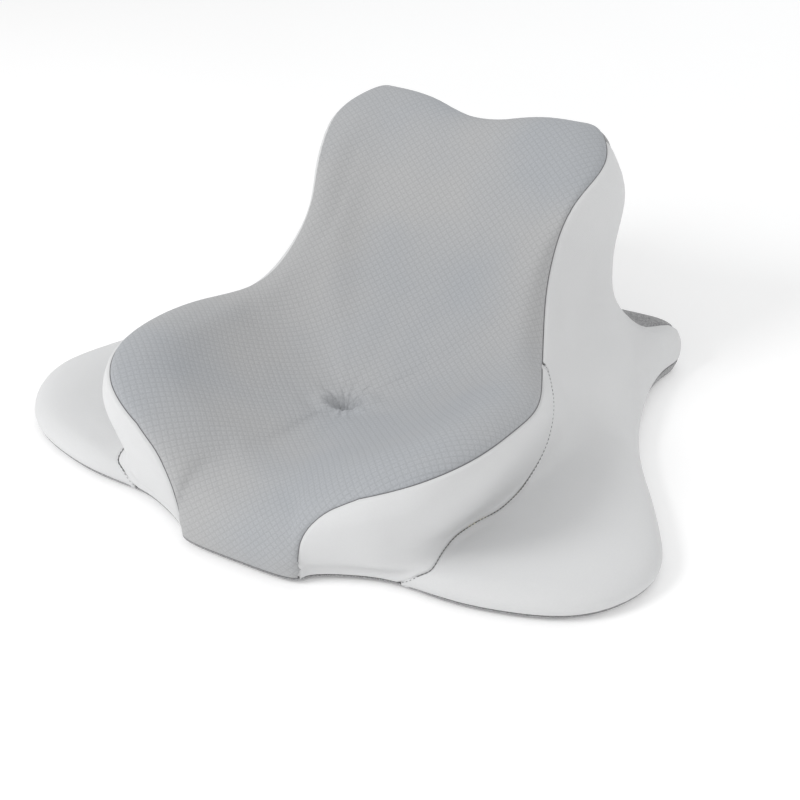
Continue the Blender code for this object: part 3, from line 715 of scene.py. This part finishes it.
lines = math_node(tree, "ADD", math_node(tree, "MULTIPLY", quilt["Line"], 0.085),
                  math_node(tree, "MULTIPLY", fine_quilt["Line"], 0.03))
shade = math_node(tree, "MULTIPLY", grain.outputs["Result"],
                  math_node(tree, "SUBTRACT", 1.0, lines))
dyed = node(tree, "VectorMath", {0: tone.outputs[2]}, operation="SCALE")
tree.links.new(shade, dyed.inputs["Scale"])
tree.links.new(dyed.outputs[0], shader.inputs["Base Color"])
height = math_node(tree, "ADD", math_node(tree, "MULTIPLY", quilt["Pillow"], 0.00028),
                   math_node(tree, "MULTIPLY", loops, 0.00012))
emboss(tree, shader, height, 1.0, 0.9)

top = mesh_object("seat_top_panel", flat, top_faces, GREY_KNIT)
LOBE_COLUMN, RINGS_IN = 18, 6    # a point on each lobe, this many rings in from the seam
lobe = int(LOBE_COLUMN / FINE_COLUMN) * rings + rings - RINGS_IN
other = int((2 * HALF - LOBE_COLUMN) / FINE_COLUMN) * rings + rings - RINGS_IN
lay_flat("cloth", top, lobe, other)
normals = vertex_normals(flat, top_faces)
shaped = fullness(flat, normals)
shaped = rolled_edge(shaped, normals, 0.0016)
top.data.vertices.foreach_set("co", pulled_in(shaped).ravel())
top.data.update()
cloth_thickness(top)
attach(top, "cushion")
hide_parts("top_panel")


# ==================================================================== white panels
# Smooth white knit makes the two side bands under the lobes and the two wing panels. Each
# wing panel runs from the spreading flange up the side of the backrest to the ear.
WHITE = (0.70, 0.704, 0.708)
WHITE_KNIT, tree, shader = new_material("white_knit", WHITE, 0.88, sheen=0.1, gloss=0.25)
cloth = node(tree, "UVMap", uv_map="cloth").outputs["UV"]
loops = place_group(tree, LOOPS, Vector=cloth, Pitch=0.0009)["Height"]
flecks = mottled(tree, 0.0016, 0.7)
wash = mottled(tree, 0.09, 0.4)
spread_tone = math_node(tree, "ADD", math_node(tree, "MULTIPLY", flecks, 0.06),
                        math_node(tree, "MULTIPLY", wash, 0.07))
shade = math_node(tree, "ADD", spread_tone, 0.935)
dyed = node(tree, "VectorMath", {0: (*WHITE,)}, operation="SCALE")
tree.links.new(shade, dyed.inputs["Scale"])
tree.links.new(dyed.outputs[0], shader.inputs["Base Color"])
emboss(tree, shader, loops, 0.00014, 0.8)

EDGE = (0, 0.7, 1.4, 2.1, 2.8, 3.6, 4.8, 6.6, 9, 12)


def measured_cloth(made, grid):
    """Cloth coordinates in metres from the lengths along a panel's rows and columns."""
    down = np.linalg.norm(np.diff(grid, axis=1), axis=2)
    down = np.concatenate([np.zeros((len(grid), 1)), np.cumsum(down, axis=1)], 1)
    middle = grid[:, grid.shape[1] // 2]
    across = np.broadcast_to(run_length(middle)[:, None], down.shape)
    uv = np.stack([across, down], 2).reshape(-1, 2)
    layer = made.data.uv_layers.new(name="cloth")
    layer.data.foreach_set("uv", uv[corner_vertices(made.data)].ravel())


POINTED = 0.030                  # a panel narrower than this lies flatter, toward its tip


def sewn_panel(name, grid, look, node_name, deep=0.0014, bead=0.0,
               skip=()):
    """One panel of the cover: filled out, its edge rolled in, and given its thickness."""
    faces = [f for k, f in enumerate(grid_faces(*grid.shape[:2])) if k not in skip]
    points = grid.reshape(-1, 3)
    normals = vertex_normals(points, faces)
    made = mesh_object(name, points, faces, look)
    measured_cloth(made, grid)
    shaped = rolled_edge(fullness(points, normals), normals, deep, bead=bead)
    wide = np.linalg.norm(np.diff(grid, axis=1), axis=2).sum(1)
    share = np.repeat(np.clip(wide / POINTED, 0, 1), grid.shape[1])[:, None]
    shaped = points + (shaped - points) * share
    made.data.vertices.foreach_set("co", shaped.ravel())
    made.data.update()
    if skip:
        form = bmesh.new()
        form.from_mesh(made.data)
        loose = [v for v in form.verts if not v.link_faces]
        bmesh.ops.delete(form, geom=loose, context="VERTS")
        form.to_mesh(made.data)
        form.free()
    cloth_thickness(made)
    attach(made, "cushion")
    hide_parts(node_name)
    return made


TIP = 0.12                       # the pointed ends of a panel are cut just short
band_columns = np.r_[TONGUE_COLUMN + TIP * 2, np.arange(TONGUE_COLUMN + 0.5,
                                                        WAIST_COLUMN, FINE_COLUMN)]
wing_columns = np.r_[BAND_COLUMN + TIP * 2, np.arange(BAND_COLUMN + 0.5, BACK_COLUMN,
                                                      FINE_COLUMN), BACK_COLUMN]


def edge_in(grid, last=False):
    """Draws a panel's end column back from the seam it is sewn along."""
    end, near = (-1, -2) if last else (0, 1)
    step = grid[near] - grid[end]
    length = np.maximum(np.linalg.norm(step, axis=1), 1e-9)[:, None]
    grid = grid.copy()
    grid[end] = grid[end] + step / length * np.minimum(STITCH_GAP, length / 3)
    return grid


END_SHARES = (0.06, 0.13, 0.22, 0.34, 0.5, 0.75)


def end_columns(grid, last=True):
    """Adds close columns at a panel's end so that its edge can roll into the seam."""
    end, near = (-1, -2) if last else (0, 1)
    extra = [grid[end] + (grid[near] - grid[end]) * s for s in END_SHARES]
    if last:
        return np.concatenate([grid[:-1], extra[::-1], grid[-1:]])
    return np.concatenate([grid[:1], extra, grid[1:]])


band_grid = panel_grid(band_columns, top_seam, wing_seam, EDGE, EDGE[:-2], 16)
wing_grid = panel_grid(wing_columns, wing_seam, lambda c: BASE_ROW, EDGE, EDGE[:-2], 30)
wing_grid = edge_in(end_columns(wing_grid), last=True)
for side, turn in (("right", lambda g: g), ("left", mirrored)):
    sewn_panel("side_band_" + side + "_cloth", turn(band_grid), WHITE_KNIT,
               "side_band_" + side, bead=0.0004)
    sewn_panel("wing_" + side + "_cloth", turn(wing_grid), WHITE_KNIT,
               "wing_panel_" + side, deep=0.0012, bead=0.0002)


# ==================================================================== back and underside
# Dark flecked grip fabric closes the back of the backrest, the shelf behind it and the
# whole underside, where rubber dots printed on it keep the cushion from sliding.
GRIP = (0.135, 0.135, 0.14)
GRIP_FABRIC, tree, shader = new_material("grip_fabric", GRIP, 0.9, sheen=0.25, gloss=0.2)
cloth = node(tree, "UVMap", uv_map="cloth").outputs["UV"]
loops = place_group(tree, LOOPS, Vector=cloth, Pitch=0.0013)["Height"]
flecks = mottled(tree, 0.0012, 0.75)
tint(tree, shader, flecks, (0.20, 0.20, 0.205), (0.53, 0.53, 0.535), (0.38, 0.66))
emboss(tree, shader, loops, 0.0002, 0.9)

back_columns = np.arange(BACK_COLUMN, 2 * HALF - BACK_COLUMN + 0.01, FINE_COLUMN)
upper = panel_grid(back_columns, top_seam, lambda c: RIM_ROW, EDGE, (0, 2, 4, 7, 11), 26)
lower = panel_grid(back_columns, lambda c: RIM_ROW, lambda c: BASE_ROW, (0, 2, 4),
                   (0, 1, 2.2, 4), 4)
back_grid = np.concatenate([upper[:, :-1], lower], 1)
window_top = upper.shape[1] - 1
face_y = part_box("back_panel")[1][1]
window = [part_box("zip_tape_lower")[0][2] - 0.0003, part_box("zip_tape_upper")[1][2] + 0.0003]
rings = back_grid.shape[1]
share = np.linspace(0, 1, rings - window_top)
back_grid[:, window_top:, 2] = window[1] + (window[0] - window[1]) * share
inside = (back_columns >= ZIP_COLUMN) & (back_columns <= 2 * HALF - ZIP_COLUMN)
back_grid[inside, window_top:, 1] = face_y
back_grid = end_columns(end_columns(back_grid), last=False)
back_grid = edge_in(edge_in(back_grid), last=True)
added = len(END_SHARES)
places = np.r_[back_columns[0], [back_columns[0] + 0.01] * added, back_columns[1:-1],
               [back_columns[-1] - 0.01] * added, back_columns[-1]]
cut_out = {i * (rings - 1) + j for i in range(len(back_grid) - 1)
           for j in range(window_top, rings - 1)
           if places[i] >= ZIP_COLUMN and places[i + 1] <= 2 * HALF - ZIP_COLUMN}
sewn_panel("back_cloth", back_grid, GRIP_FABRIC, "back_panel", deep=0.001,
           skip=cut_out)

base_grid = panel_grid(np.arange(0, 2 * HALF, FINE_COLUMN), lambda c: BASE_ROW,
                       lambda c: LAST_ROW - 0.02, (0, 1, 2.2, 3.6, 5.2, 7, 9, 12), (0, 8), 14,
                       (True, False))
rings = base_grid.shape[1]
base_points = base_grid.reshape(-1, 3)
base_faces = grid_faces(len(base_grid), rings, closed=True)
base_faces.append([i * rings + rings - 1 for i in range(len(base_grid))])
DOT_HEIGHT = 0.0004
base_points[:, 2] = np.maximum(base_points[:, 2], DOT_HEIGHT)
base = mesh_object("base_cloth", base_points, base_faces, GRIP_FABRIC)
layer = base.data.uv_layers.new(name="cloth")
layer.data.foreach_set("uv", base_points[corner_vertices(base.data)][:, :2].ravel())
cloth_thickness(base, 0.0015)
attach(base, "cushion")
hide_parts("base_panel")

RUBBER, tree, shader = new_material("grip_rubber", (0.05, 0.05, 0.052), 0.6)
tone = mottled(tree, 0.004, 0.7)
vary_roughness(tree, shader, tone, 0.45, 0.75)
tint(tree, shader, tone, (0.035, 0.035, 0.037), (0.08, 0.08, 0.083))
DOT_PITCH, DOT_RADIUS, DOT_SIDES = 0.013, 0.0021, 8
DOT_ROWS, DOT_COLUMNS = 20, 27   # to each side of the middle, enough to cover the base
DOT_FIELD = 0.975                # the dots keep just inside the outline
outline = SHAPE[:, int(EDGE_ROW / FINE_ROW), :2] * DOT_FIELD


def within(x, y, loop):
    """Whether a point is inside a closed outline."""
    x0, y0 = loop[:, 0], loop[:, 1]
    x1, y1 = np.roll(x0, -1), np.roll(y0, -1)
    crosses = (y0 > y) != (y1 > y)
    at = x0 + (y - y0) * (x1 - x0) / np.where(y1 == y0, 1e-12, y1 - y0)
    return bool((crosses & (x < at)).sum() % 2)


dots, dot_faces = [], []
for j in range(-DOT_ROWS, DOT_ROWS + 1):
    for i in range(-DOT_COLUMNS, DOT_COLUMNS + 1):
        x, y = (i + (j % 2) / 2) * DOT_PITCH, j * DOT_PITCH * math.sqrt(0.75)
        if not within(x, y, outline):
            continue
        start = len(dots)
        for radius, z in ((DOT_RADIUS, DOT_HEIGHT + 0.0001), (DOT_RADIUS * 0.9, 0.00012),
                          (DOT_RADIUS * 0.55, 0.0)):
            dots += [(x + radius * math.cos(2 * math.pi * k / DOT_SIDES),
                      y + radius * math.sin(2 * math.pi * k / DOT_SIDES), z)
                     for k in range(DOT_SIDES)]
        for band in (0, DOT_SIDES):
            dot_faces += [(start + band + k, start + band + DOT_SIDES + k,
                           start + band + DOT_SIDES + (k + 1) % DOT_SIDES,
                           start + band + (k + 1) % DOT_SIDES) for k in range(DOT_SIDES)]
        dot_faces.append(tuple(start + 2 * DOT_SIDES + k for k in range(DOT_SIDES))[::-1])
        dot_faces.append(tuple(start + k for k in range(DOT_SIDES)))
grip_dots = mesh_object("grip_dots", dots, dot_faces, RUBBER)
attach(grip_dots, "cushion")


# ==================================================================== seams
# The panels are joined by overlock seams, so only a narrow groove shows, with the sewing
# thread at its bottom. The seam between band and wing is also top-stitched in dark thread.
THREAD, tree, shader = new_material("dark_thread", (0.12, 0.12, 0.125), 0.7, sheen=0.2)
twist = mottled(tree, 0.0006, 0.8)
tint(tree, shader, twist, (0.10, 0.10, 0.105), (0.24, 0.24, 0.25))
emboss(tree, shader, twist, 0.0002, 0.7)


def shape_normal(points):
    """Which way is out at each point, from the nearest part of the filled shape."""
    return np.array([OUTWARD[OUT_TREE.find(p)[1]] for p in points])


coarse = SHAPE[::2, ::4]
OUTWARD = vertex_normals(coarse.reshape(-1, 3),
                         grid_faces(len(coarse), coarse.shape[1], closed=True))
OUT_TREE = tree_of(coarse.reshape(-1, 3))


def along_line(line, step, start=0.0, stop=0.0):
    return resampled(line, np.arange(start, run_length(line)[-1] - stop, step))


def thread_runs(name, runs, radius, look, sides=6):
    """Lengths of thread as closed round strands, each through its own points."""
    points, faces = [], []
    for run in runs:
        run = np.asarray(run, float)
        way = np.gradient(run, axis=0)
        way /= np.maximum(np.linalg.norm(way, axis=1), 1e-12)[:, None]
        side = np.cross(way, shape_normal(run))
        side /= np.maximum(np.linalg.norm(side, axis=1), 1e-12)[:, None]
        up = np.cross(side, way)
        start, many = len(points), len(run)
        for i in range(many):
            thin = radius * (0.35 if i in (0, many - 1) else 1.0)
            for k in range(sides):
                a = 2 * math.pi * k / sides
                points.append(run[i] + (side[i] * math.cos(a) + up[i] * math.sin(a)) * thin)
        faces += [(start + i * sides + k, start + i * sides + (k + 1) % sides,
                   start + (i + 1) * sides + (k + 1) % sides, start + (i + 1) * sides + k)
                  for i in range(many - 1) for k in range(sides)]
        faces.append(tuple(start + k for k in range(sides))[::-1])
        faces.append(tuple(start + (many - 1) * sides + k for k in range(sides)))
    made = mesh_object(name, points, faces, look)
    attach(made, "cushion")
    return made


STITCH, STITCH_SPACE, THREAD_RADIUS = 0.0025, 0.0040, 0.0003
for side, sign in (("right", 1), ("left", -1)):
    line = SEAMS["wing"] * np.array([sign, 1.0, 1.0])
    fine = along_line(line, 0.0005, 0.002, 0.002)
    out = shape_normal(fine)
    stitches, per = [], int(STITCH_SPACE / 0.0005)
    many = int(STITCH / 0.0005) + 1
    for first in range(0, len(fine) - many, per):
        part = fine[first:first + many].copy()
        arch = np.sin(np.linspace(0, math.pi, many)) * 0.0007 - 0.0008
        stitches.append(part + out[first:first + many] * arch[:, None])
    thread_runs("wing_stitches_" + side, stitches, THREAD_RADIUS, THREAD)
    back_line = along_line(SEAMS["back"] * np.array([sign, 1.0, 1.0]), 0.003)
    thread_runs("back_seam_thread_" + side, [back_line - shape_normal(back_line) * 0.0011],
                0.0004, THREAD)
ring = along_line(SEAMS["top"], 0.003)
ring = np.concatenate([ring, (ring * MIRROR)[::-1]])
thread_runs("top_seam_thread", [ring - shape_normal(ring) * 0.0012], 0.0004, THREAD)


# ==================================================================== zip
# A closed nylon coil zip across the rear lip lets the cover come off. Each half is a coil
# sewn to its woven tape; a zinc slider with a hinged pull runs between the two end stops.
NYLON, tree, shader = new_material("zip_nylon", (0.05, 0.05, 0.055), 0.4)
tone = mottled(tree, 0.003, 0.5)
vary_roughness(tree, shader, tone, 0.3, 0.55)
tint(tree, shader, tone, (0.04, 0.04, 0.045), (0.085, 0.085, 0.09))

TAPE, tree, shader = new_material("zip_tape", (0.09, 0.09, 0.10), 0.85, sheen=0.2)
where = node(tree, "TexCoord").outputs["Object"]
parts = node(tree, "SeparateXYZ", {"Vector": where})
ribs = math_node(tree, "ABSOLUTE", math_node(tree, "SINE", math_node(
    tree, "MULTIPLY", math_node(tree, "ADD", parts.outputs[0], math_node(
        tree, "PINGPONG", parts.outputs[2], 0.0016)), math.pi / 0.0009)))
picks = math_node(tree, "ABSOLUTE", math_node(tree, "SINE", math_node(
    tree, "MULTIPLY", parts.outputs[2], math.pi / 0.0007)))
weave = math_node(tree, "MULTIPLY", ribs, picks)
tint(tree, shader, weave, (0.035, 0.035, 0.04), (0.13, 0.13, 0.14))
emboss(tree, shader, weave, 0.0002, 0.8)

ZINC, tree, shader = new_material("zip_zinc", (0.52, 0.53, 0.55), 0.32, metallic=1.0)
tone = mottled(tree, 0.002, 0.8)
vary_roughness(tree, shader, tone, 0.22, 0.5)
tint(tree, shader, tone, (0.42, 0.43, 0.45), (0.62, 0.63, 0.65))
emboss(tree, shader, tone, 0.0001, 0.4)

for name in ("zip_tape_upper", "zip_tape_lower"):
    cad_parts[name].data.materials.clear()
    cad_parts[name].data.materials.append(TAPE)

# A strip of the same tape lies behind the zip and keeps the foam out of the coil.
tapes = [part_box("zip_tape_upper"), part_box("zip_tape_lower")]
behind = tapes[0][0][1] - 0.0003
GUARD_EDGE, GUARD_THICK = 0.0015, 0.0005
low = (tapes[1][0][0] - GUARD_EDGE, behind - GUARD_THICK, tapes[1][0][2] - GUARD_EDGE)
high = (tapes[0][1][0] + GUARD_EDGE, behind, tapes[0][1][2] + GUARD_EDGE)
corners = [(x, y, z) for x in (low[0], high[0]) for y in (low[1], high[1])
           for z in (low[2], high[2])]
guard = mesh_object("zip_guard", corners, [(0, 1, 3, 2), (4, 6, 7, 5), (0, 4, 5, 1),
                                           (2, 3, 7, 6), (0, 2, 6, 4), (1, 5, 7, 3)], TAPE)
guard.data.shade_flat()
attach(guard, "cushion")

COIL_PITCH, COIL_WIRE = 0.0015, 0.00032
for name, lean in (("zip_coil_upper", 1), ("zip_coil_lower", -1)):
    low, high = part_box(name)
    turns = int((high[0] - low[0]) / COIL_PITCH)
    angle = np.linspace(0, 2 * math.pi * turns, turns * 10 + 1)
    middle = [(low[k] + high[k]) / 2 for k in range(3)]
    deep = (high[1] - low[1]) / 2 - COIL_WIRE
    tall = (high[2] - low[2]) / 2 - COIL_WIRE
    x = low[0] + COIL_WIRE + (high[0] - low[0] - 2 * COIL_WIRE) * angle / angle[-1]
    x = x + lean * 0.0002 * np.cos(angle)
    wire = np.stack([x, middle[1] + deep * np.cos(angle), middle[2] + tall * np.sin(angle)], 1)
    curve = bpy.data.curves.new(name + "_wire", "CURVE")
    curve.dimensions = "3D"
    curve.bevel_depth = COIL_WIRE
    curve.bevel_resolution = 1
    curve.use_fill_caps = True
    spline = curve.splines.new("POLY")
    spline.points.add(len(wire) - 1)
    spline.points.foreach_set("co", np.c_[wire, np.ones(len(wire))].ravel())
    curve.materials.append(NYLON)
    pick(show(bpy.data.objects.new(name + "_wire", curve)))
    bpy.ops.object.convert(target="MESH")
    made = bpy.context.view_layer.objects.active
    made.data.shade_smooth()
    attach(made, "cushion")
    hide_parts(name)


def rounded_copy(node_name, name, radius, body):
    """A CAD zip casting with its edges broken, as a die casting has them."""
    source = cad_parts[node_name]
    mesh = source.data.copy()
    mesh.materials.clear()
    mesh.materials.append(ZINC)
    form = bmesh.new()
    form.from_mesh(mesh)
    bmesh.ops.remove_doubles(form, verts=form.verts, dist=0.00001)
    bmesh.ops.dissolve_limit(form, angle_limit=0.02, verts=form.verts, edges=form.edges)
    form.to_mesh(mesh)
    form.free()
    made = show(bpy.data.objects.new(name, mesh))
    bevel = made.modifiers.new("broken_edges", "BEVEL")
    bevel.width = radius
    bevel.segments = 3
    bevel.limit_method = "ANGLE"
    bevel.angle_limit = math.radians(40)
    bevel.use_clamp_overlap = True
    bpy.context.view_layer.objects.active = made
    bpy.ops.object.modifier_apply(modifier=bevel.name)
    made.data.shade_smooth()
    made.data.set_sharp_from_angle(angle=math.radians(50))
    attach(made, body)
    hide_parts(node_name)
    return made


for side in ("left", "right"):
    rounded_copy("zip_stop_" + side, "end_stop_" + side, 0.0003, "cushion")
rounded_copy("zip_slider", "slider_casting", 0.00022, "zip_slider")
rounded_copy("zip_pull", "pull_tab", 0.0003, "zip_pull")


# ==================================================================== tuft
# Under the dimple a plastic disc holds the top panel down. A cord ties it through the foam
# to a wider disc that rests on the base panel; all three are hidden inside the cushion.
PLASTIC, tree, shader = new_material("tuft_plastic", (0.83, 0.83, 0.80), 0.45)
tone = mottled(tree, 0.003, 0.6)
vary_roughness(tree, shader, tone, 0.35, 0.6)
tint(tree, shader, tone, (0.76, 0.76, 0.73), (0.88, 0.88, 0.86))

CORD, tree, shader = new_material("tuft_cord", (0.66, 0.66, 0.66), 0.8, sheen=0.2)
where = node(tree, "TexCoord").outputs["Object"]
parts = node(tree, "SeparateXYZ", {"Vector": where})
strand = math_node(tree, "ABSOLUTE", math_node(tree, "SINE", math_node(
    tree, "MULTIPLY", math_node(tree, "ADD", parts.outputs[0], parts.outputs[2]),
    math.pi / 0.0011)))
tint(tree, shader, strand, (0.45, 0.45, 0.45), (0.72, 0.72, 0.72))
emboss(tree, shader, strand, 0.0003, 0.8)
for name, look in (("tuft_anchor_top", PLASTIC), ("tuft_anchor_base", PLASTIC),
                   ("tuft_cord", CORD)):
    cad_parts[name].data.materials.clear()
    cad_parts[name].data.materials.append(look)


# ==================================================================== floor and light
# The cushion lies on a plain white floor under large soft lamps, one to the upper left.
FLOOR, tree, shader = new_material("studio_floor", (0.93, 0.93, 0.93), 0.9, gloss=0.1)
tone = mottled(tree, 0.4, 0.4)
tint(tree, shader, tone, (0.92, 0.92, 0.92), (0.945, 0.945, 0.945))
shader.inputs["Emission Color"].default_value = (1, 1, 1, 1)
shader.inputs["Emission Strength"].default_value = 0.14
REACH = 8.0
floor = mesh_object("floor", [(-REACH, -REACH, 0), (REACH, -REACH, 0), (REACH, REACH, 0),
                              (-REACH, REACH, 0)], [(0, 1, 2, 3)], FLOOR)
floor.location.z = cad_box[0][2] - 0.0002

world = bpy.data.worlds.new("studio")
world.use_nodes = True
world.node_tree.nodes["Background"].inputs["Color"].default_value = (1.0, 1.0, 1.0, 1)
world.node_tree.nodes["Background"].inputs["Strength"].default_value = 0.66
bpy.context.scene.world = world


def lamp(name, place, aim, size, power, colour=(1, 1, 1)):
    light = bpy.data.lights.new(name, "AREA")
    light.shape = "DISK"
    light.size, light.energy, light.color = size, power, colour
    made = show(bpy.data.objects.new(name, light))
    made.location = place
    made.rotation_mode = "QUATERNION"
    made.rotation_quaternion = (Vector(aim) - Vector(place)).to_track_quat("-Z", "Y")


lamp("key", (-1.25, -1.5, 1.55), (0, 0, 0.08), 0.9, 24)
lamp("fill", (1.8, -0.4, 1.5), (0, 0, 0.08), 1.3, 7)
lamp("rear", (0.2, 1.9, 1.5), (0, 0, 0.1), 1.4, 5, (0.95, 0.98, 1.0))
bpy.context.scene.view_settings.view_transform = "Standard"

LENS, AZIMUTH, ELEVATION, DISTANCE = 56.7, 28.0, 34.4, 1.113
AIM = Vector((0.074, -0.089, 0.10))
a, e = math.radians(AZIMUTH), math.radians(ELEVATION)
back = Vector((math.sin(a) * math.cos(e), -math.cos(a) * math.cos(e), math.sin(e)))
camera = show(bpy.data.objects.new("camera", bpy.data.cameras.new("camera")))
camera.data.lens = LENS
camera.location = AIM + back * DISTANCE
camera.rotation_mode = "QUATERNION"
camera.rotation_quaternion = (-back).to_track_quat("-Z", "Y")
bpy.context.scene.camera = camera
